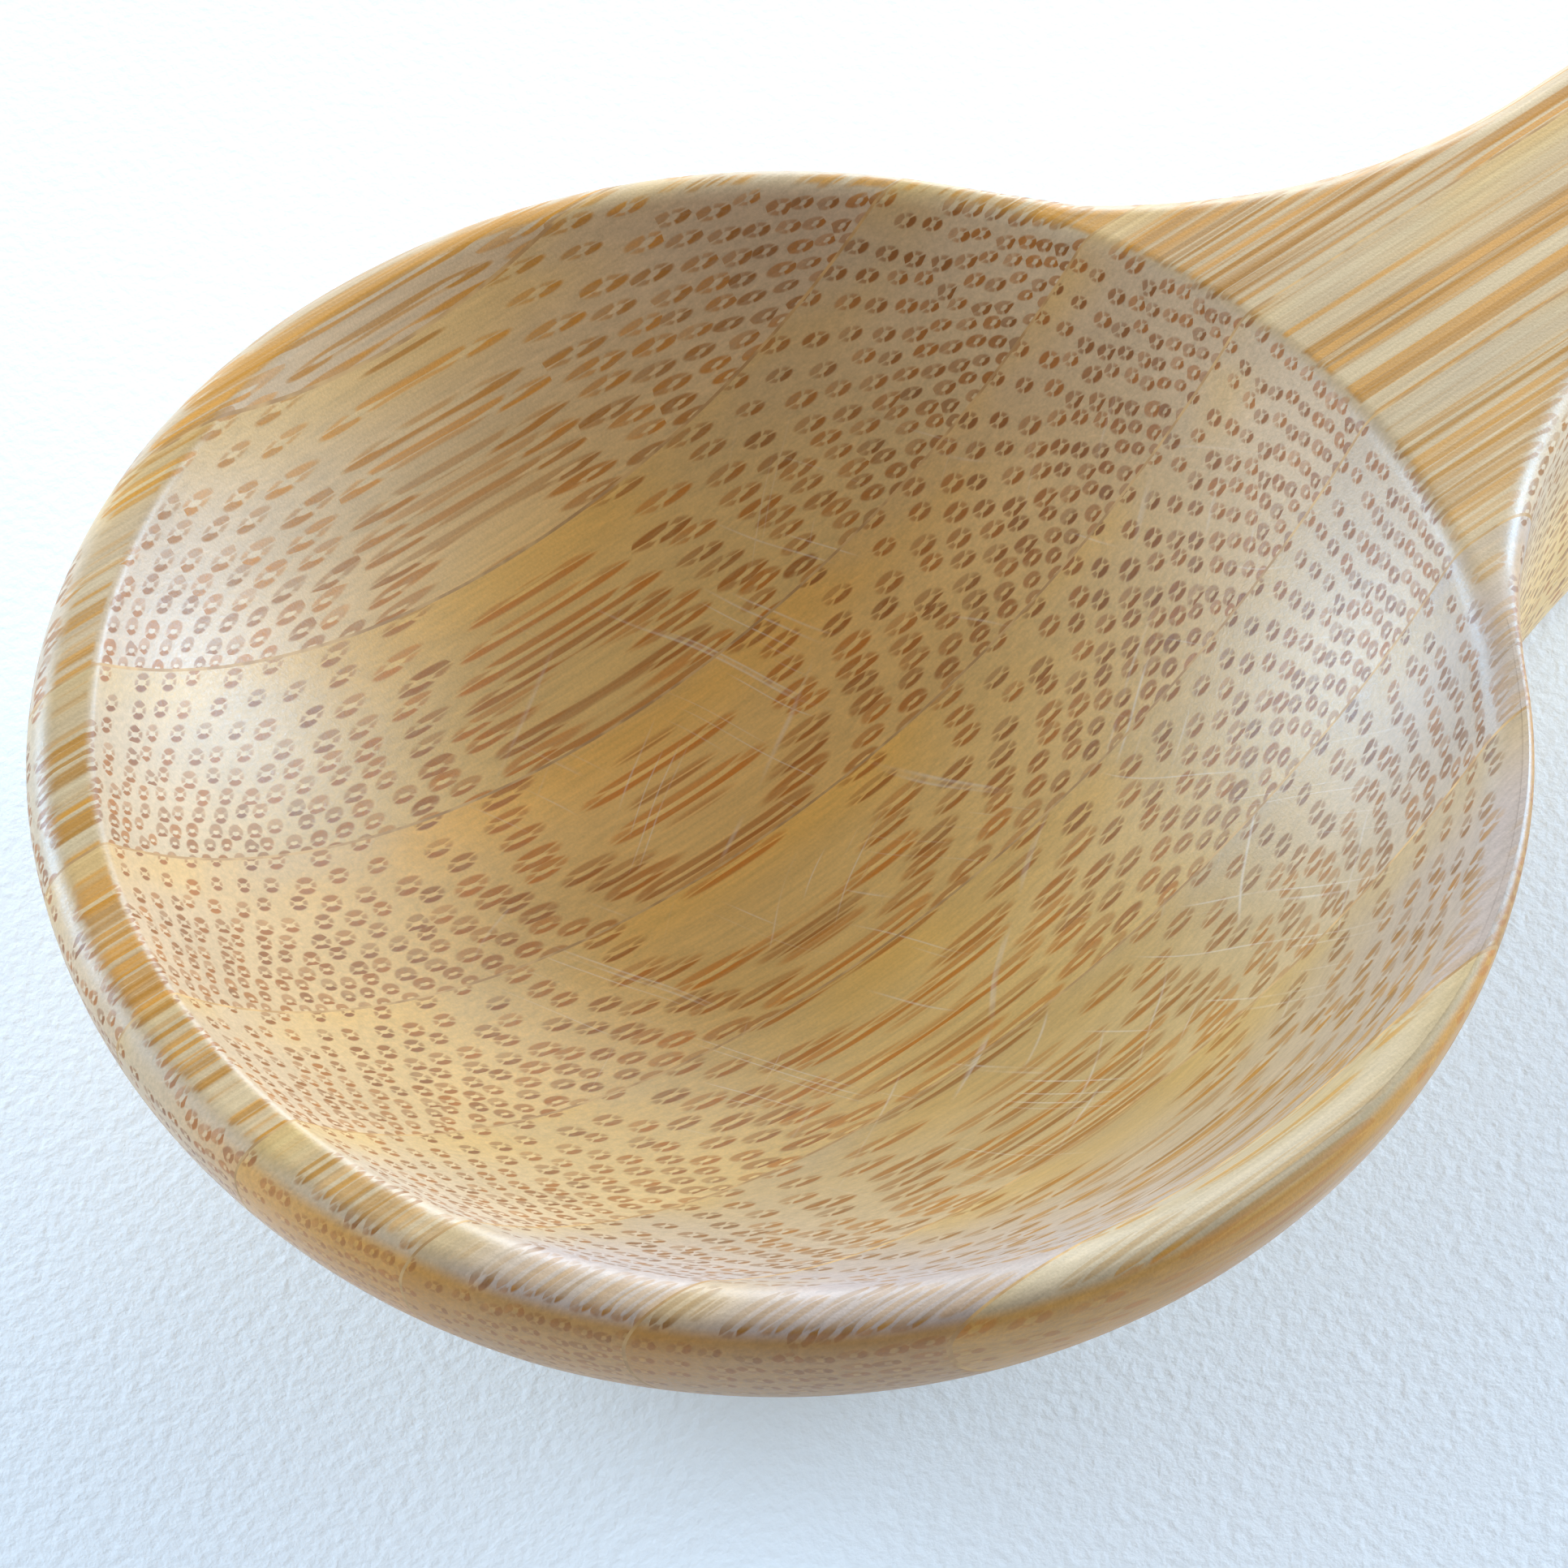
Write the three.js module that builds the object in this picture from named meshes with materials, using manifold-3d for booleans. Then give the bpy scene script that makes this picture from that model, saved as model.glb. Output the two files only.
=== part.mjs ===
// A level coffee scoop carved from a billet of laminated bamboo, with a round shallow bowl and a deep-necked handle.
// Sizes are in millimetres. +X runs from the bowl along the handle, +Y is to the left of the handle, +Z is up.
// The origin is the middle of the flat that the bowl stands on, under the middle of the bowl.
import * as THREE from 'three';
import { mergeVertices } from 'three/addons/utils/BufferGeometryUtils.js';
import Module from 'manifold-3d';

// The billet: bamboo strips stand on edge side by side and are glued face to face.
const STRIP_PITCH = 6.9;
const GLUE_LINE = 0.1;
const LEAST_STRIP = 1.2;

// The blank that is carved from the billet.
const SCOOP_LENGTH = 150;
const SCOOP_HEIGHT = 17;
const BOWL_DIAMETER = 54.6;
const NECK_RADIUS = 26;
const NECK_WIDTH = 11.6;
const HANDLE_END_WIDTH = 14;
const HANDLE_END_HEIGHT = 9;
const TAPER_START = 52;
const TOP_EDGE_RADIUS = 1.3;
const SANDED_OFF = 0.3;

// Fullness of the sides: 2 is an ellipse, and a larger number comes nearer to a square corner.
const BOWL_FULLNESS = 1.85;
const HANDLE_FULLNESS = 8;

// The hollow is part of a ball, set slightly toward the handle, so the rim is widest at the tip.
const RIM_WIDTH = 1.8;
const FLOOR_THICKNESS = 3.6;
const HOLLOW_OFFSET = 0.75;
const LIP_RADIUS = 1.2;

// How finely the curves are divided.
const BOWL_STEPS = 27;
const NECK_STEPS = 9;
const HANDLE_STEPS = 8;
const END_STEPS = 6;
const WALL_STEPS = 9;
const EDGE_STEPS = 4;
const HOLLOW_STEPS = 9;
const LIP_STEPS = 4;
const HOLLOW_SIDES = 56;

const wasm = await Module();
wasm.setup();

const bowlRadius = BOWL_DIAMETER / 2;
const tipX = -bowlRadius;
const endX = SCOOP_LENGTH - bowlRadius;
const endRadius = HANDLE_END_WIDTH / 2;
const endCentreX = endX - endRadius;

// Slow start and slow finish between 0 and 1.
function ease(t) {
  return THREE.MathUtils.smoothstep(t, 0, 1);
}

// Depth of the keel below the rim, before the foot is sanded flat: level under the bowl and neck, then rising.
function keelDepth(x) {
  const along = (x - TAPER_START) / (endCentreX - TAPER_START);
  const full = SCOOP_HEIGHT + SANDED_OFF;
  return THREE.MathUtils.lerp(full, HANDLE_END_HEIGHT, ease(along));
}

// One side of the plan outline, from the tip round the bowl and the hollow of the neck to the handle's end.
// Each point knows the spine point that its wall curves in to, and how full that wall is.
function halfOutline() {
  const neckY = NECK_WIDTH / 2 + NECK_RADIUS;
  const neckX = Math.sqrt((bowlRadius + NECK_RADIUS) ** 2 - neckY ** 2);
  const join = Math.atan2(neckY, neckX);
  const bowlArc = new THREE.ArcCurve(0, 0, bowlRadius, Math.PI, join, true);
  const neckArc = new THREE.ArcCurve(neckX, neckY, NECK_RADIUS, join + Math.PI, 1.5 * Math.PI, false);
  const neckEnd = new THREE.Vector2(neckX, NECK_WIDTH / 2);
  const side = new THREE.LineCurve(neckEnd, new THREE.Vector2(endCentreX, endRadius));
  const endArc = new THREE.ArcCurve(endCentreX, 0, endRadius, Math.PI / 2, 0, true);
  const points = [];
  const add = (point, spineX, blend) => {
    const fullness = THREE.MathUtils.lerp(BOWL_FULLNESS, HANDLE_FULLNESS, blend);
    points.push({ x: point.x, y: Math.max(point.y, 0), spineX, fullness });
  };
  for (const point of bowlArc.getSpacedPoints(BOWL_STEPS).slice(0, -1)) add(point, 0, 0);
  neckArc.getSpacedPoints(NECK_STEPS).forEach((point, i) => {
    const blend = ease((1.25 * i) / NECK_STEPS);
    add(point, point.x * blend, blend);
  });
  for (const point of side.getSpacedPoints(HANDLE_STEPS).slice(1)) add(point, point.x, 1);
  for (const point of endArc.getSpacedPoints(END_STEPS).slice(1)) add(point, endCentreX, 1);
  points[0].y = 0;
  points.at(-1).y = 0;
  return points;
}

// The wall under one outline point: a rounded top edge, then a curve of the wall's fullness down to the keel.
function wallProfile({ x, y, spineX, fullness }) {
  const reach = Math.hypot(spineX - x, y);
  const profile = [];
  for (let i = 0; i <= EDGE_STEPS; i += 1) {
    const turn = ((1 - i / EDGE_STEPS) * Math.PI) / 2;
    const inset = TOP_EDGE_RADIUS * (1 - Math.cos(turn));
    profile.push([1 - inset / reach, TOP_EDGE_RADIUS * (Math.sin(turn) - 1)]);
  }
  const drop = keelDepth(spineX) - TOP_EDGE_RADIUS;
  for (let i = 1; i <= WALL_STEPS; i += 1) {
    const turn = ((i / WALL_STEPS) * Math.PI) / 2;
    const out = i === WALL_STEPS ? 0 : Math.cos(turn) ** (2 / fullness);
    profile.push([out, -TOP_EDGE_RADIUS - drop * Math.sin(turn) ** (2 / fullness)]);
  }
  return profile.map(([out, z]) => new THREE.Vector3(spineX + (x - spineX) * out, y * out, z + SCOOP_HEIGHT));
}

// Skin of the blank: the wall profiles side by side all the way round, closed by the flat top.
function blankGeometry() {
  const left = halfOutline();
  const right = left.slice(1, -1).reverse().map((point) => ({ ...point, y: -point.y }));
  const rows = [...left, ...right].map((point) => wallProfile({ ...point }));
  const perRow = rows[0].length;
  const vertices = rows.flat().flatMap((v) => [v.x, v.y, v.z]);
  const faces = [];
  rows.forEach((row, i) => {
    const a = i * perRow;
    const b = ((i + 1) % rows.length) * perRow;
    for (let j = 0; j < perRow - 1; j += 1) {
      faces.push(a + j, b + j, b + j + 1);
      faces.push(a + j, b + j + 1, a + j + 1);
    }
  });
  const rimLoop = rows.map((row) => new THREE.Vector2(row[0].x, row[0].y));
  for (const [a, b, c] of THREE.ShapeUtils.triangulateShape(rimLoop, [])) {
    faces.push(a * perRow, b * perRow, c * perRow);
  }
  const geometry = new THREE.BufferGeometry();
  geometry.setAttribute('position', new THREE.Float32BufferAttribute(vertices, 3));
  geometry.setIndex(faces);
  return geometry;
}

// The space cut out for the bowl: a slice of a ball whose mouth flares round the lip into the flat top.
function hollowGeometry() {
  const mouth = bowlRadius - RIM_WIDTH;
  const depth = SCOOP_HEIGHT - FLOOR_THICKNESS;
  const ball = (mouth ** 2 + depth ** 2) / (2 * depth);
  const ballZ = ball - depth;
  const lipX = Math.sqrt((ball + LIP_RADIUS) ** 2 - (ballZ + LIP_RADIUS) ** 2);
  const meet = Math.atan2(lipX, ballZ + LIP_RADIUS);
  const profile = [];
  for (let i = 0; i <= HOLLOW_STEPS; i += 1) {
    const turn = (meet * i) / HOLLOW_STEPS;
    profile.push(new THREE.Vector2(ball * Math.sin(turn), ballZ - ball * Math.cos(turn)));
  }
  for (let i = 1; i <= LIP_STEPS; i += 1) {
    const turn = meet * (1 - i / LIP_STEPS);
    profile.push(new THREE.Vector2(lipX - LIP_RADIUS * Math.sin(turn), LIP_RADIUS * (Math.cos(turn) - 1)));
  }
  profile.push(new THREE.Vector2(lipX, depth), new THREE.Vector2(0, depth));
  const geometry = new THREE.LatheGeometry(profile, HOLLOW_SIDES);
  geometry.rotateX(Math.PI / 2);
  geometry.translate(HOLLOW_OFFSET, 0, SCOOP_HEIGHT);
  return geometry;
}

// A box that spans the whole blank in length and height, between two values of Y and above a given Z.
function slab(lowY, highY, lowZ) {
  const margin = 5;
  const length = SCOOP_LENGTH + 2 * margin;
  const height = SCOOP_HEIGHT + margin - lowZ;
  const geometry = new THREE.BoxGeometry(length, highY - lowY, height);
  geometry.translate(tipX - margin + length / 2, (lowY + highY) / 2, lowZ + height / 2);
  return geometry;
}

// A closed geometry as a solid: vertices that coincide are merged and faces that have lost their area are dropped.
function toSolid(geometry) {
  geometry.deleteAttribute('normal');
  geometry.deleteAttribute('uv');
  const merged = mergeVertices(geometry, 1e-4);
  const index = merged.index.array;
  const kept = [];
  for (let i = 0; i < index.length; i += 3) {
    const [a, b, c] = index.slice(i, i + 3);
    if (a !== b && b !== c && c !== a) kept.push(a, b, c);
  }
  const vertProperties = new Float32Array(merged.attributes.position.array);
  return new wasm.Manifold(new wasm.Mesh({ numProp: 3, vertProperties, triVerts: new Uint32Array(kept) }));
}

// A cut solid as a geometry again.
function toGeometry(solid) {
  const { vertProperties, triVerts } = solid.getMesh();
  const geometry = new THREE.BufferGeometry();
  geometry.setAttribute('position', new THREE.BufferAttribute(new Float32Array(vertProperties), 3));
  geometry.setIndex(new THREE.BufferAttribute(new Uint32Array(triVerts), 1));
  return geometry;
}

const TONES = ['#d8b98d', '#cfa974', '#dcc19a'];
const GLUE_COLOUR = '#6e4a28';

const blank = toSolid(blankGeometry());
const sanded = blank.intersect(toSolid(slab(-BOWL_DIAMETER, BOWL_DIAMETER, 0)));
const carved = sanded.subtract(toSolid(hollowGeometry()));

const scoop = new THREE.Group();

// Cuts one slice of the carved billet and adds it, as one mesh for each length that the slice falls into.
function addSlice(name, lowY, highY, colour, roughness) {
  const lengths = carved.intersect(toSolid(slab(lowY, highY, -1))).decompose();
  lengths.forEach((solid, i) => {
    const material = new THREE.MeshStandardMaterial({ color: colour, roughness, metalness: 0 });
    const mesh = new THREE.Mesh(toGeometry(solid), material);
    mesh.name = i === 0 ? name : `${name}_length_${i + 1}`;
    scoop.add(mesh);
  });
}

// Strips on each side of the middle one that are wide enough to be left by the round of the bowl.
const sideStrips = Math.floor((bowlRadius - LEAST_STRIP) / STRIP_PITCH + 0.5);
const halfPitch = STRIP_PITCH / 2;
const halfGlue = GLUE_LINE / 2;

addSlice('strip_middle', -halfPitch + halfGlue, halfPitch - halfGlue, TONES[0], 0.48);
for (const [side, sign] of [['left', 1], ['right', -1]]) {
  for (let i = 1; i <= sideStrips; i += 1) {
    const seam = i * STRIP_PITCH - halfPitch;
    const outer = i === sideStrips ? BOWL_DIAMETER : seam + STRIP_PITCH - halfGlue;
    const stripRange = [sign * (seam + halfGlue), sign * outer].sort((a, b) => a - b);
    const glueRange = [sign * (seam - halfGlue), sign * (seam + halfGlue)].sort((a, b) => a - b);
    addSlice(`glue_${side}_${i}`, ...glueRange, GLUE_COLOUR, 0.4);
    addSlice(`strip_${side}_${i}`, ...stripRange, TONES[i % TONES.length], 0.48);
  }
}

export default scoop;
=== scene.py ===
import bmesh
import bpy
import numpy as np
from mathutils import Matrix, Vector


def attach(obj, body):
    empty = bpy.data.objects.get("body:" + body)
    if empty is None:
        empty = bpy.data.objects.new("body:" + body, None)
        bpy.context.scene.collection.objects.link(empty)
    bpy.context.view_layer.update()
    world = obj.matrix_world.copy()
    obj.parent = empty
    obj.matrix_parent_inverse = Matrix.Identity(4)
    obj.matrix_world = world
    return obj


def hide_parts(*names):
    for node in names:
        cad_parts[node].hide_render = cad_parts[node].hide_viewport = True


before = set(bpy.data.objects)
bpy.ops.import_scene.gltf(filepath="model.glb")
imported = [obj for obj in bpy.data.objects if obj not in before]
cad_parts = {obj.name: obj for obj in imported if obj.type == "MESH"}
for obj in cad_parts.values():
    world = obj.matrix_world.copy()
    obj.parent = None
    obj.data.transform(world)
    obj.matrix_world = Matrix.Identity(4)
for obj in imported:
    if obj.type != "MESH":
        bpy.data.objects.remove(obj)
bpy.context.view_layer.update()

# The bamboo strips: the scoop is carved from a billet of nine flat bamboo strips that stand on edge and are
# glued face to face. One carved surface runs over all nine, a round bowl with a ball-shaped hollow and a
# deep-necked handle, so it is worked out whole, in metres, and then sawn at the glue lines.
PITCH = 0.0069
GLUE = 0.0001
SIDE_STRIPS = 4
LENGTH = 0.150
HEIGHT = 0.017
BOWL_R = 0.0273
RIM = 0.0018
FLOOR = 0.0036
HOLLOW_X = 0.00075
LIP, WORN_LIP = 0.0006, 0.0020
NECK_R = 0.026
NECK_HALF = 0.0058
END_R = 0.007
END_HEIGHT = 0.009
TAPER_START = 0.052
TOP_EDGE = 0.0013
SANDED = 0.0003
MOUTH_R = BOWL_R - RIM
DEPTH = HEIGHT - FLOOR
END_X = LENGTH - BOWL_R - END_R

# Fullness of the walls: 2 is an ellipse, and a larger number comes nearer to a square corner
BOWL_FULL, HANDLE_FULL = 1.85, 8.0
# Along the neck the wall turns into the handle's this much faster than the neck runs out
NECK_LEAD = 1.25
# How fast the lip's wear grows toward the right, and how much of it there is at the handle
RIGHT_WEAR, HANDLE_WEAR = 1.3, 0.4
# The rounded top edge takes no more than this share of the rim
EDGE_SHARE = 0.8

# Points along each curve of the plan, and along each curve of the section
BOWL_POINTS, NECK_POINTS, SIDE_POINTS, END_POINTS = 180, 64, 61, 25
WALL_POINTS, EDGE_POINTS, TOP_POINTS, LIP_POINTS, HOLLOW_POINTS = 72, 10, 14, 9, 90


def ease(t):
    """Slow start and slow finish: three t squared less two t cubed, held between 0 and 1."""
    t = np.clip(t, 0, 1)
    return t * t * (3 - 2 * t)


def plan_outline():
    """Plan of the blank, tip to handle end and back: the round of the bowl, an arc that touches bowl and
    handle, the widening side and the round end. With each point comes the spine point its wall runs in
    to, and how much of the wall is handle rather than bowl."""
    neck_y = NECK_HALF + NECK_R
    neck_x = np.sqrt((BOWL_R + NECK_R) ** 2 - neck_y**2)
    join = np.arctan2(neck_y, neck_x)
    bowl = np.linspace(np.pi, join, BOWL_POINTS)[:-1]
    neck = np.linspace(join + np.pi, 1.5 * np.pi, NECK_POINTS)
    side = np.linspace(0, 1, SIDE_POINTS)[1:]
    end = np.linspace(np.pi / 2, 0, END_POINTS)[1:]
    x = np.concatenate([BOWL_R * np.cos(bowl), neck_x + NECK_R * np.cos(neck),
                        neck_x + (END_X - neck_x) * side, END_X + END_R * np.cos(end)])
    y = np.concatenate([BOWL_R * np.sin(bowl), neck_y + NECK_R * np.sin(neck),
                        NECK_HALF + (END_R - NECK_HALF) * side, END_R * np.sin(end)])
    y[0] = y[-1] = 0
    along_neck = np.linspace(0, 1, NECK_POINTS)
    blend = np.concatenate([0 * bowl, ease(NECK_LEAD * along_neck), 0 * side + 1, 0 * end + 1])
    spine = np.minimum(x * blend, END_X)
    back = slice(-2, 0, -1)
    return (np.concatenate([x, x[back]]), np.concatenate([y, -y[back]]),
            np.concatenate([spine, spine[back]]), np.concatenate([blend, blend[back]]))


def carved_skin():
    """The whole scoop as one grid: u runs round the plan, and v runs from the keel up the outer wall,
    over the rounded top edge, across the flat top, round the lip and down the hollow to its lowest point.
    The wall is a superellipse, cos and sin to the power two over its fullness; edge and lip are arcs; the
    hollow is a ball. The lip is crisp at the tip and the left, and worn rounder at the right and a little
    toward the handle."""
    x, y, spine, blend = (q[:, None] for q in plan_outline())
    full = BOWL_FULL + (HANDLE_FULL - BOWL_FULL) * blend
    taper = ease((spine - TAPER_START) / (END_X - TAPER_START))
    keel = HEIGHT + SANDED + (END_HEIGHT - HEIGHT - SANDED) * taper
    ball = (MOUTH_R**2 + DEPTH**2) / (2 * DEPTH)
    way = np.arctan2(y, x)
    worn = np.maximum(ease(-RIGHT_WEAR * np.sin(way)), HANDLE_WEAR * ease(np.cos(way)))
    lip = LIP + (WORN_LIP - LIP) * worn
    lip_r = np.sqrt((ball + lip) ** 2 - (ball - DEPTH + lip) ** 2)
    meet = np.arctan2(lip_r, ball - DEPTH + lip)
    rim = np.hypot(x - HOLLOW_X - lip_r * np.cos(way), y - lip_r * np.sin(way))
    edge_r = np.minimum(TOP_EDGE, EDGE_SHARE * rim)

    rise = np.linspace(np.pi / 2, 0, WALL_POINTS)[None]
    out = np.abs(np.cos(rise)) ** (2 / full)
    out[:, 0] = 0
    wall = [spine + (x - spine) * out, y * out, -edge_r - (keel - edge_r) * np.sin(rise) ** (2 / full)]
    turn = np.linspace(0, np.pi / 2, EDGE_POINTS)[None, 1:]
    inset = 1 - edge_r * (1 - np.cos(turn)) / np.hypot(spine - x, y)
    edge = [spine + (x - spine) * inset, y * inset, edge_r * (np.sin(turn) - 1)]
    over = meet * np.linspace(0, 1, LIP_POINTS)[None]
    down = meet * np.linspace(1, 0, HOLLOW_POINTS)[None, 1:]
    r = np.concatenate([lip_r - lip * np.sin(over), ball * np.sin(down)], 1)
    z = np.concatenate([lip * (np.cos(over) - 1), ball - DEPTH - ball * np.cos(down)], 1)
    hollow = [HOLLOW_X + np.cos(way) * r, np.sin(way) * r, z]
    across = np.linspace(0, 1, TOP_POINTS)[None, 1:-1]
    top = [e[:, -1:] + (h[:, :1] - e[:, -1:]) * across for e, h in zip(edge, hollow)]
    grid = np.stack([np.concatenate(parts, 1) for parts in zip(wall, edge, top, hollow)], -1)
    grid[..., 2] = np.maximum(grid[..., 2] + HEIGHT, 0)
    return grid


MERGE_DISTANCE = 2e-7


def grid_mesh(name, grid):
    """Mesh of a grid that closes on itself in u: four neighbours make a face, and points that coincide
    are merged."""
    nu, nv = grid.shape[:2]
    u, v = np.meshgrid(np.arange(nu), np.arange(nv - 1), indexing="ij")
    a, b = u * nv + v, (u + 1) % nu * nv + v
    faces = np.stack([a, a + 1, b + 1, b], -1).reshape(-1, 4)
    mesh = bpy.data.meshes.new(name)
    mesh.from_pydata(grid.reshape(-1, 3), [], faces)
    whole = bmesh.new()
    whole.from_mesh(mesh)
    bmesh.ops.remove_doubles(whole, verts=whole.verts, dist=MERGE_DISTANCE)
    bmesh.ops.recalc_face_normals(whole, faces=whole.faces)
    whole.to_mesh(mesh)
    whole.free()
    return mesh


carved = grid_mesh("carved_billet", carved_skin())
SAW_TOLERANCE = 1e-8
CREASE = 0.6  # radians


def sawn_slice(name, low, high):
    """The part of the carved billet between two upright planes, y = low and y = high, with flat sawn
    faces. Edges that turn by more than the crease angle stay sharp."""
    mesh = bpy.data.meshes.new(name)
    piece = bmesh.new()
    piece.from_mesh(carved)
    for y, way in ((low, -1), (high, 1)):
        geom = piece.verts[:] + piece.edges[:] + piece.faces[:]
        cut = bmesh.ops.bisect_plane(piece, geom=geom, dist=SAW_TOLERANCE, plane_co=(0, y, 0),
                                     plane_no=(0, way, 0), clear_outer=True)
        rim = [e for e in cut["geom_cut"] if isinstance(e, bmesh.types.BMEdge)]
        if rim:
            bmesh.ops.holes_fill(piece, edges=rim, sides=0)
    for face in piece.faces:
        face.smooth = True
    for edge in piece.edges:
        if len(edge.link_faces) == 2 and edge.calc_face_angle() > CREASE:
            edge.smooth = False
    piece.to_mesh(mesh)
    piece.free()
    obj = bpy.data.objects.new(name, mesh)
    bpy.context.collection.objects.link(obj)
    return obj


class Value:
    """What a shader node puts out. Arithmetic with it adds the nodes that work out the result."""

    def __init__(self, nodes, socket):
        self.nodes = nodes
        self.socket = socket

    def __add__(self, other):
        return self.nodes.math("ADD", self, other)

    def __sub__(self, other):
        return self.nodes.math("SUBTRACT", self, other)

    def __rsub__(self, other):
        return self.nodes.math("SUBTRACT", other, self)

    def __mul__(self, other):
        return self.nodes.math("MULTIPLY", self, other)

    def __truediv__(self, other):
        return self.nodes.math("DIVIDE", self, other)

    def __abs__(self):
        return self.nodes.math("ABSOLUTE", self)


class Nodes:
    """A material's node tree, with short calls that add a node, set or link its sockets, and give its
    output."""

    def __init__(self, name):
        self.material = bpy.data.materials.new(name)
        self.material.use_nodes = True
        self.tree = self.material.node_tree

    def plug(self, socket, value):
        """Links a value to a socket, or sets the socket to a plain number, vector or colour."""
        if isinstance(value, Value):
            self.tree.links.new(value.socket, socket)
        else:
            socket.default_value = (*value, 1) if socket.type == "RGBA" else value

    def node(self, kind, inputs, **settings):
        node = self.tree.nodes.new(kind)
        for key, value in settings.items():
            setattr(node, key, value)
        for key, value in inputs.items():
            self.plug(node.inputs[key], value)
        return node

    def add(self, kind, inputs, output=0, **settings):
        return Value(self, self.node(kind, inputs, **settings).outputs[output])

    def shade(self, inputs):
        """Sets or links the sockets of the material's shader, and gives the finished material."""
        shader = self.tree.nodes["Principled BSDF"]
        for key, value in inputs.items():
            self.plug(shader.inputs[key], value)
        return self.material

    def coordinates(self, kind):
        return self.add("ShaderNodeTexCoord", {}, kind)

    def math(self, operation, a, b=0.0):
        return self.add("ShaderNodeMath", {0: a, 1: b}, operation=operation)

    def larger(self, a, b):
        return self.math("MAXIMUM", a, b)

    def root(self, a):
        return self.math("SQRT", a)

    def step(self, value, low, high, start=0.0, end=1.0):
        """Smooth step from start at low to end at high."""
        return self.add("ShaderNodeMapRange", {0: value, 1: low, 2: high, 3: start, 4: end},
                        interpolation_type="SMOOTHSTEP")

    def fall(self, value, low, high):
        """Smooth step from 1 at low down to 0 at high."""
        return self.step(value, low, high, 1.0, 0.0)

    def swayed(self, value, noise, amount):
        """The value, moved either way by up to half the amount as the noise goes from 0 to 1."""
        return (noise - 0.5) * amount + value

    def vector(self, x, y, z=0.0):
        return self.add("ShaderNodeCombineXYZ", {0: x, 1: y, 2: z})

    def parts(self, whole, kind="XYZ"):
        """The three numbers of a vector, or of a colour."""
        return [Value(self, part) for part in self.node(f"ShaderNodeSeparate{kind}", {0: whole}).outputs]

    def scaled(self, vector, factors):
        """A vector or colour times three factors, each number by its own."""
        return self.add("ShaderNodeVectorMath", {0: vector, 1: factors}, operation="MULTIPLY")

    def dimmed(self, colour, factor):
        """A colour times one factor."""
        return self.add("ShaderNodeVectorMath", {0: colour, "Scale": factor}, operation="SCALE")

    def mix(self, factor, a, b):
        """Colour a where the factor is 0, and b where it is 1."""
        return self.add("ShaderNodeMix", {0: factor, 6: a, 7: b}, 2, data_type="RGBA")

    def bands(self, factor, colours):
        """The colours one after another, in equal bands from factor 0 to factor 1."""
        node = self.node("ShaderNodeValToRGB", {0: factor})
        node.color_ramp.interpolation = "CONSTANT"
        stops = node.color_ramp.elements
        while len(stops) < len(colours):
            stops.new(1.0)
        for i, (stop, colour) in enumerate(zip(stops, colours)):
            stop.position = i / len(colours)
            stop.color = (*colour, 1)
        return Value(self, node.outputs[0])

    def noise(self, vector, scale=1.0, detail=2.0, roughness=0.5):
        return self.add("ShaderNodeTexNoise", {"Vector": vector, "Scale": scale, "Detail": detail,
                                               "Roughness": roughness})

    def bump(self, height, strength, distance):
        return self.add("ShaderNodeBump", {"Strength": strength, "Distance": distance, "Height": height})


# Bamboo is worked out in millimetres
MM = 1000
PITCH_MM = PITCH * MM
# How far fibres wander across the strip, up and down, and up and down over a shorter length
WANDER_Y, WANDER_Z, RIPPLE_Z = 0.9, 1.6, 0.5
# Steps of the lattice of bundles from row to row and along a row, and how much closer it packs when deep
ROW_STEP, ROW_CLOSER = 1.10, 0.95
SEAT_STEP, SEAT_CLOSER = 1.05, 0.62
JITTER = 0.32


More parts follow.
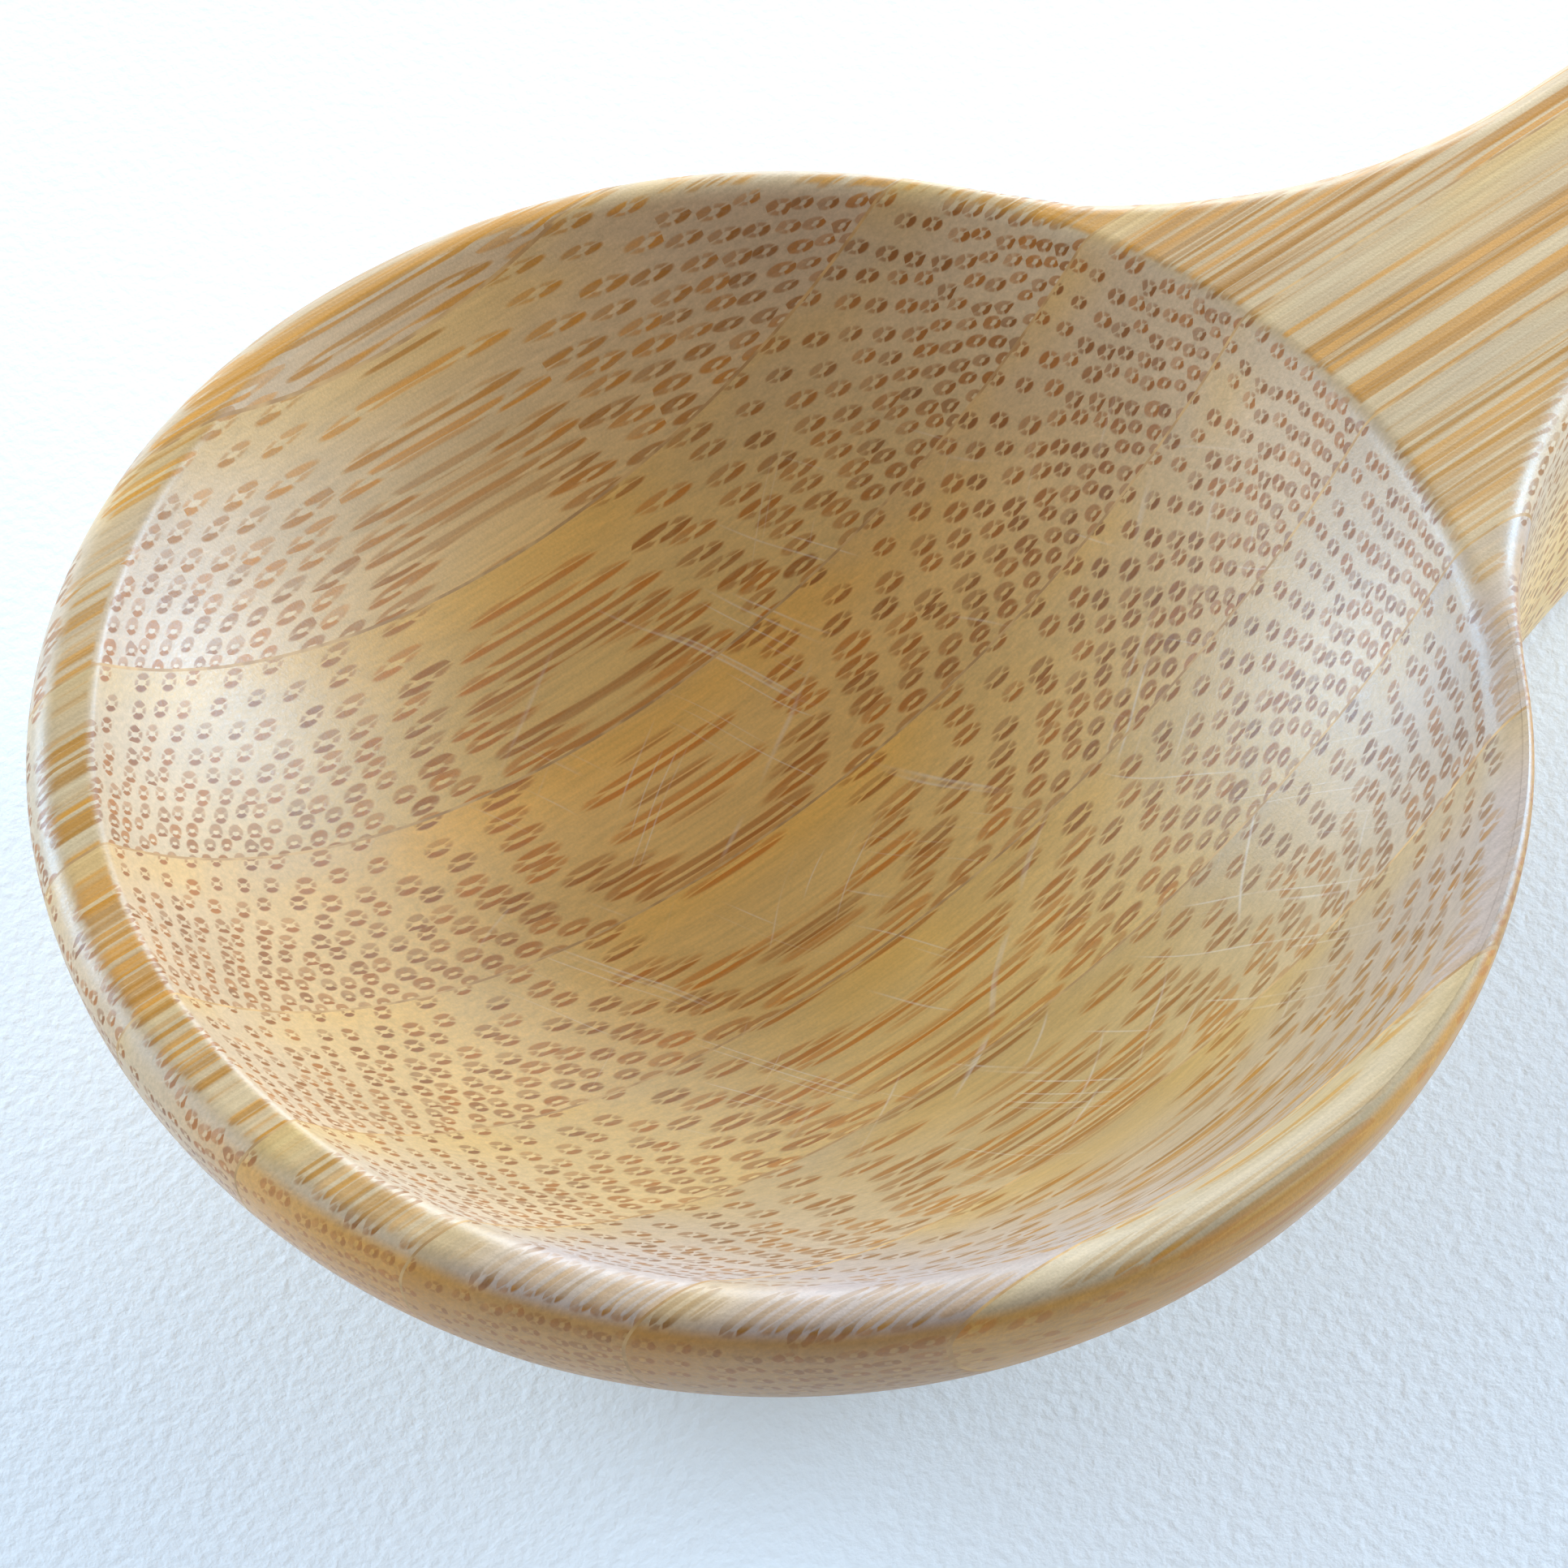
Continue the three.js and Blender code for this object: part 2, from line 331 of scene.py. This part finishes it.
def nearest_bundle(n, spot):
    """The vascular bundle nearest to a spot. Each strip is open-grained at its left side and dense at its
    right. Depth in the strip counts from the open side, plus the slow wander of grown fibres. Rows and
    seats of a staggered lattice lie closer the deeper they are: a row's number grows with depth and depth
    squared, and a square root turns the row of the nearest cell's middle back into a depth. Gives the
    strip's number, the depth of the spot and of the middle as shares of the strip, the way from the
    middle in y and z, and three chance numbers."""
    x, y, z = n.parts(spot)
    across = (y + PITCH_MM / 2) / PITCH_MM
    strip = n.math("FLOOR", across)
    # The noises are slow along x, and each strip has its own stretch of them
    along = x * 0.03
    wander_y = n.noise(n.vector(along, strip * 3.7, z * 0.06))
    wander_z = n.noise(n.vector(along, strip * 5.3, y * 0.12))
    ripple = n.noise(n.scaled(spot, (0.07, 0.3, 0.3)))
    from_open = (1.0 - n.math("FRACT", across)) * PITCH_MM
    in_y = n.swayed(from_open, wander_y, WANDER_Y)
    in_z = n.swayed(n.swayed(z - HEIGHT * MM / 2, wander_z, WANDER_Z), ripple, RIPPLE_Z)
    depth = in_y / PITCH_MM

    row = in_y * (depth * (ROW_CLOSER / 2) + 1.0) / ROW_STEP
    seat = in_z * (depth * SEAT_CLOSER + 1.0) / SEAT_STEP + row * 0.5
    first_row, first_seat = strip * 40.0, strip * 13.7
    lattice = n.vector(row + first_row, seat + first_seat)
    cell = n.node("ShaderNodeTexVoronoi", {"Vector": lattice, "Scale": 1.0, "Randomness": JITTER},
                  voronoi_dimensions="2D")
    middle_row, middle_seat, _ = n.parts(Value(n, cell.outputs["Position"]))
    middle_row = middle_row - first_row
    middle_seat = middle_seat - first_seat - middle_row * 0.5
    squared = middle_row * (2 * ROW_CLOSER * ROW_STEP / PITCH_MM) + 1.0
    packed = (n.root(squared) - 1.0) / ROW_CLOSER
    middle_z = middle_seat * SEAT_STEP / (packed * SEAT_CLOSER + 1.0)
    chance = n.parts(Value(n, cell.outputs["Color"]), "Color")
    return strip, depth, packed, in_y - packed * PITCH_MM, in_z - middle_z, chance


def rosette(n, packed, off_y, off_z, luck, spread):
    """Section of one bundle, from the way to its middle as a share of its radius. The band between a hole
    and an outer line that reaches farther in y holds two large fibre caps along y and two small ones
    along z; toward the dense side it closes to a horseshoe. Gives the caps, the pale middle and a low
    dome over the bundle."""
    # The radius is largest a little before half the depth, and varies by chance
    radius = packed * packed * -0.22 + packed * 0.18 + 0.30
    radius = radius * (luck * 0.24 + 0.88)
    off_y, off_z = off_y / radius, off_z / radius
    square_y, square_z = off_y * off_y, off_z * off_z
    square = square_y + square_z + 0.0001
    reach = n.root(square)
    lean = square_y / square
    outer = n.fall(reach - (lean * 0.24 + 0.76), -0.14, 0.10)
    hole_y = off_y - packed * 0.16
    hole = lean * -0.12 + packed * -0.06 + 0.41
    core = n.fall(n.root(hole_y * hole_y + square_z) - hole, -0.08, 0.08)
    lobes = n.step(abs(lean - 0.33), 0.05, 0.22) * n.step(lean, 0.15, 0.5, 0.7, 1.0)
    closed = n.step(packed, 0.45, 0.95) * n.step(off_y, -0.2, 0.5, 1.0, 0.3)
    uneven = n.step(off_y, -0.3, 0.3, spread * 0.5 + 0.5, 1.0)
    caps = outer * (1.0 - core) * n.larger(lobes, closed) * uneven
    return caps, core * outer, n.fall(reach, 0.0, 1.15)


def sheen_shade_and_tone_places(n, spot, normal):
    """Places where the wood's colour changes, each from 0 to 1 by smooth steps of the place and of how far
    the surface faces out from the bowl's middle, which is x times the normal's x plus y times its y. Gives
    the lip at the right, which takes a painted sheen, that lip with the sides of the handle, which take a
    painted sheen too, the right-hand strips, which turn golden toward the handle, and the bowl's outer wall
    below the rim, which takes painted shade as a darker golden tint, faint except at the right."""
    x, y, z = n.parts(spot)
    normal_x, normal_y, _ = n.parts(normal)
    facing = x * normal_x + y * normal_y
    # The lip at the right, where a sheen is painted
    lip = n.fall(facing, 4.0, 16.0) * n.step(facing, -20.0, -8.0) * n.step(z, 14.5, 16.5)
    lip = lip * n.fall(y, -14.0, -2.0)
    handle_sides = n.step(x, 22.0, 30.0) * n.step(abs(normal_y), 0.3, 0.8)
    # Painted sheen: the right lip and the sides of the handle turn paler
    painted_sheen = n.larger(lip, handle_sides)
    right_strips = n.fall(y, -15.0, -6.0) * (1.0 - painted_sheen)
    # Painted shade on the bowl's outer wall: full at the right, a little under half elsewhere below the rim
    below_rim = n.larger(n.fall(y, -8.0, 2.0), n.step(z, 13.0, 16.5, 0.45, 0.0))
    outer_wall_shade = n.step(facing, 12.0, 22.0) * n.fall(x, 20.0, 30.0) * below_rim
    return lip, painted_sheen, right_strips, outer_wall_shade


def scratches(n, spot):
    """Fine scratches from use, in the middle of the hollow: two families of thin lines, slightly bent. A
    line is where a noise across it passes one half, and a second noise breaks it up along its length."""
    x, y, _ = n.parts(spot)
    marks = 0.0
    for way_x, way_y, seed in ((0.52, -0.86, 3.0), (0.85, 0.53, 11.0)):
        run = x * way_x + y * way_y
        side = y * way_x - x * way_y
        bend = n.noise(n.vector(run * 0.05, side * 0.05, seed))
        side = bend * 6.0 + side
        line = n.fall(abs(n.noise(n.vector(side, seed), 1.3, 0.0) - 0.5), 0.0, 0.035)
        broken = n.step(n.noise(n.vector(side * 0.9, run * 0.12, seed)), 0.56, 0.66)
        marks = n.larger(line * broken, marks)
    off_x, off_y = x - 6.0, y + 2.0
    return marks * n.fall(n.root(off_x * off_x + off_y * off_y), 13.0, 20.0)


# Colours of the strips from right to left
STRIP_TONES = [(0.63, 0.425, 0.21), (0.53, 0.36, 0.23), (0.58, 0.39, 0.23),
               (0.68, 0.43, 0.19), (0.71, 0.435, 0.18), (0.70, 0.42, 0.17),
               (0.69, 0.43, 0.18), (0.72, 0.45, 0.20), (0.70, 0.43, 0.19)]
# What the fibre caps make of the ground: along the grain at the rim and at the floor, and on end grain
RIM_AMBER, FLOOR_AMBER, END_BROWN = (0.79, 0.54, 0.085), (0.72, 0.38, 0.025), (0.50, 0.27, 0.035)
PLAIN = (1.0, 1.0, 1.0)


def bamboo():
    """Solid bamboo: vascular bundles run along x, so their pattern lies in the y-z plane, and the carved
    surface cuts it as rosettes on end grain and as streaks along the grain. The ground between them is a
    tone for each strip, times a shade of fibres, clouds and specks, times the tints of the places."""
    n = Nodes("bamboo")
    spot = n.scaled(n.coordinates("Object"), (MM, MM, MM))
    normal = n.coordinates("Normal")
    x, _, z = n.parts(spot)
    normal_x, _, normal_z = n.parts(normal)
    strip, depth, packed, off_y, off_z, (luck, tone, spread) = nearest_bundle(n, spot)
    caps, pale, dome = rosette(n, packed, off_y, off_z, luck, spread)
    lip, painted_sheen, right_strips, outer_wall_shade = sheen_shade_and_tone_places(n, spot, normal)
    # How squarely the surface cuts the fibres, 0 along the grain and 1 on end grain, and how low it lies
    end_grain = n.step(abs(normal_x), 0.08, 0.60)
    low = n.fall(z, 6.0, 16.5)

    # The ground: thin fibres along x, slow clouds and specks over the strip's own tone
    fibres = n.noise(n.scaled(spot, (0.15, 5.0, 5.0)), 1.0, 4.0, 0.65)
    clouds = n.noise(n.scaled(spot, (0.06, 0.18, 0.18)))
    specks = n.noise(n.scaled(spot, (9.0, 9.0, 9.0)), 1.0, 1.0)
    ground = n.bands((strip + (SIDE_STRIPS + 0.5)) / len(STRIP_TONES), STRIP_TONES)
    ground = n.dimmed(ground, fibres * 0.56 + clouds * 0.44 + specks * 0.24 + 0.38)
    amber = n.mix(low, RIM_AMBER, FLOOR_AMBER)
    brown = n.scaled(ground, n.mix(end_grain, amber, END_BROWN))
    brown = n.dimmed(brown, tone * 0.4 + 0.8)
    # Tints of the ground where each share is 0 and 1: golden at a strip's open side, and painted sheen and
    # light as marked
    golden = n.fall(depth, 0.0, 0.45) * n.step(clouds, 0.35, 0.6)
    toward_handle = n.mix(n.step(x, -14.0, 8.0), PLAIN, (0.97, 0.93, 0.76))
    tints = (
        (golden, (0.99, 1.02, 1.08), (1.04, 0.97, 0.68)),
        # Toward the floor golden, partly the wood's tone and partly painted light; higher up paler and
        # bluer, a painted sheen
        (low, (0.88, 0.95, 1.12), (1.08, 1.04, 0.72)),
        # End grain paler and bluer: a painted sheen
        (end_grain, PLAIN, (0.97, 0.99, 1.12)),
        # The right lip and the handle's sides paler: a painted sheen
        (painted_sheen, PLAIN, (1.17, 1.17, 1.16)),
        (right_strips, PLAIN, toward_handle),
    )
    for share, at_none, at_full in tints:
        ground = n.scaled(ground, n.mix(share, at_none, at_full))

    # On the ground lie the pale middles of bundles and single pale and brown strands along the grain, left
    # out on the lip under its painted sheen; then the caps, which fade on that lip and on the painted-shade
    # outer wall
    light = n.scaled(ground, (1.08, 1.14, 1.20))
    colour = n.mix(pale * (1.0 - lip) * (tone * 0.5 + 0.4), ground, light)
    strands = n.noise(n.scaled(spot, (0.012, 2.8, 1.2)), 1.0, 1.0)
    along_grain = (1.0 - low) * n.step(normal_z, 0.93, 0.99) * (1.0 - lip)
    pale_strands = n.step(strands, 0.44, 0.34, 0.0, 0.8) * along_grain
    brown_strands = n.step(depth * 0.16 + strands, 0.58, 0.68, 0.0, 0.8) * along_grain
    feather = n.step(fibres, 0.30, 0.60, 0.7, 1.0)
    colour = n.mix(pale_strands, colour, light)
    colour = n.mix(brown_strands * feather, colour, brown)
    faded = n.step(n.larger(lip, outer_wall_shade), 0.0, 1.0, 1.0, 0.5)
    colour = n.mix(caps * n.larger(feather, end_grain) * faded, colour, brown)
    # Painted shade: the outer wall below the rim darker and more golden
    colour = n.scaled(colour, n.mix(outer_wall_shade, PLAIN, (1.12, 0.76, 0.26)))
    colour = n.mix(scratches(n, spot) * 0.4, colour, (0.85, 0.76, 0.62))

    # Satin finish; the hard bundles stand a little proud of the softer ground
    relief = specks * 0.35 + fibres * 0.3 + dome * 0.4
    return n.shade({
        "Base Color": colour,
        "Roughness": caps * 0.06 + specks * 0.3 + 0.30,
        "Specular IOR Level": 0.52,
        "Specular Tint": (0.72, 0.88, 1.0),
        "Coat Weight": 0.2,
        "Coat Roughness": 0.35,
        "Sheen Weight": 0.22,
        "Sheen Roughness": 0.3,
        "Sheen Tint": (0.82, 0.93, 1.0),
        "Normal": n.bump(relief, 0.6, 0.00004),
    })


bamboo_material = bamboo()
half_pitch, half_glue = PITCH / 2, GLUE / 2
sides = [(side, sign, i) for side, sign in (("left", 1), ("right", -1)) for i in range(1, SIDE_STRIPS + 1)]
slices = [("middle", -half_pitch + half_glue, half_pitch - half_glue)]
for side, sign, i in sides:
    near = i * PITCH - half_pitch + half_glue
    far = 2 * BOWL_R if i == SIDE_STRIPS else near + PITCH - GLUE
    slices.append((f"{side}_{i}", *sorted((sign * near, sign * far))))
for name, low, high in slices:
    strip = sawn_slice(f"bamboo_{name}", low, high)
    strip.data.materials.append(bamboo_material)
    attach(strip, "root")
    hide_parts(f"strip_{name}")

# The glue lines: thin films of cured brown glue that hold each strip to the next. They are planed and
# sanded flush with the bamboo, so they show only as hairlines along the grain.


def cured_glue():
    """Brown glue whose colour comes and goes along the line, where the joint closed more or less tightly:
    a smooth step of a noise mixes a dark and a light brown."""
    n = Nodes("cured_glue")
    tight = n.step(n.noise(n.coordinates("Object"), 900.0, 3.0), 0.35, 0.65)
    return n.shade({"Base Color": n.mix(tight, (0.46, 0.25, 0.09), (0.68, 0.41, 0.16)), "Roughness": 0.5})


glue_material = cured_glue()
for side, sign, i in sides:
    seam = sign * (i * PITCH - half_pitch)
    film = sawn_slice(f"glue_film_{side}_{i}", seam - half_glue, seam + half_glue)
    film.data.materials.append(glue_material)
    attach(film, "root")
    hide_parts(f"glue_{side}_{i}")

# The table: a white sheet with a faint tooth, level, that the scoop lies on. Far from the scoop it fades
# to plain white, as in a photograph of a small thing on a large bright sheet.
SHEET_HALF = 3
FADE_START, FADE_END = 0.35, 0.75


def white_sheet():
    """White paper: a fine noise gives the tooth. Seen directly it also glows, faintly near the scoop and
    fully far away, by a smooth step of the distance."""
    n = Nodes("white_sheet")
    spot = n.coordinates("Object")
    distance = n.add("ShaderNodeVectorMath", {0: spot}, "Value", operation="LENGTH")
    seen = n.add("ShaderNodeLightPath", {}, "Is Camera Ray")
    return n.shade({
        "Base Color": (0.85, 0.91, 0.96),
        "Roughness": 0.9,
        "Emission Color": (0.74, 0.92, 1.12),
        "Emission Strength": seen * n.step(distance, FADE_START, FADE_END, 0.10, 1.0),
        "Normal": n.bump(n.noise(spot, 1900.0, 3.0, 0.55), 0.45, 0.00016),
    })


corners = [(SHEET_HALF * x, SHEET_HALF * y, 0) for x, y in ((-1, -1), (1, -1), (1, 1), (-1, 1))]
table_mesh = bpy.data.meshes.new("table")
table_mesh.from_pydata(corners, [], [(0, 1, 2, 3)])
table_mesh.materials.append(white_sheet())
table = bpy.data.objects.new("table", table_mesh)
bpy.context.collection.objects.link(table)

# The light: broad soft lamps stand low at the left, at the right and behind the scoop, and beside the
# first two a bright pane of sky gives the sheen in the hollow. The room around is dim, and plain white
# where it is seen.
# The camera's turn from +Y toward +X, its tilt downward and its roll; the lamps stand by the same turn
turn, tilt, roll = np.radians((40.54, 51.89, 0.94))
right = Vector((np.cos(turn), -np.sin(turn), 0))
away = Vector((np.sin(turn), np.cos(turn), 0))
DAYLIGHT, SKY = (0.84, 0.93, 1.02), (0.57, 0.84, 1.14)
LAMP_DISTANCE = 0.8
ROOM_LIGHT = 0.32
# Bearing from the way the camera looks and height above the table, in degrees; width and height in
# metres; watts
lamps = {
    "left": (-76, 22, 0.8, 0.5, 3.8, DAYLIGHT),
    "right": (73, 24, 0.8, 0.5, 4.1, DAYLIGHT),
    "back": (15, 14, 0.5, 0.3, 4.5, DAYLIGHT),
    "left_pane": (-66, 19, 0.3, 0.3, 4.8, SKY),
    "right_pane": (59, 14, 0.2, 0.24, 4.6, SKY),
}
for name, (bearing, height, width, tall, watts, colour) in lamps.items():
    bearing, height = np.radians((bearing, height))
    soft = bpy.data.lights.new(f"lamp_{name}", "AREA")
    soft.shape = "RECTANGLE"
    soft.size, soft.size_y = width, tall
    soft.energy = watts
    soft.color = colour
    lamp = bpy.data.objects.new(f"lamp_{name}", soft)
    bpy.context.collection.objects.link(lamp)
    level = away * np.cos(bearing) + right * np.sin(bearing)
    lamp.location = LAMP_DISTANCE * (level * np.cos(height) + Vector((0, 0, np.sin(height))))
    lamp.rotation_euler = (-lamp.location).to_track_quat("-Z", "Y").to_euler()

world = bpy.data.worlds.new("pale_room")
bpy.context.scene.world = world
world.use_nodes = True
room = world.node_tree
background = room.nodes["Background"]
background.inputs["Color"].default_value = (0.95, 0.97, 1.0, 1)
strength = room.nodes.new("ShaderNodeMath")
strength.operation = "MAXIMUM"
strength.inputs[1].default_value = ROOM_LIGHT
room.links.new(room.nodes.new("ShaderNodeLightPath").outputs["Is Camera Ray"], strength.inputs[0])
room.links.new(strength.outputs[0], background.inputs["Strength"])
bpy.context.scene.view_settings.view_transform = "Standard"

# The camera: close above the tip, to the right of the handle, looking down over the bowl.
PHOTO_WIDTH, FOCAL_LENGTH = 1932, 6912  # pixels
EYE = (-0.0828, -0.0971, 0.1750)
lens = bpy.data.cameras.new("camera")
lens.sensor_width = 36.0
lens.lens = FOCAL_LENGTH * lens.sensor_width / PHOTO_WIDTH
lens.clip_start = 0.005
camera = bpy.data.objects.new("camera", lens)
bpy.context.collection.objects.link(camera)
ahead = Vector((np.sin(turn) * np.cos(tilt), np.cos(turn) * np.cos(tilt), -np.sin(tilt)))
upward = right.cross(ahead)
side = right * np.cos(roll) + upward * np.sin(roll)
top = upward * np.cos(roll) - right * np.sin(roll)
axes = Matrix((side, top, -ahead))
camera.matrix_world = Matrix.Translation(EYE) @ axes.transposed().to_4x4()
bpy.context.scene.camera = camera
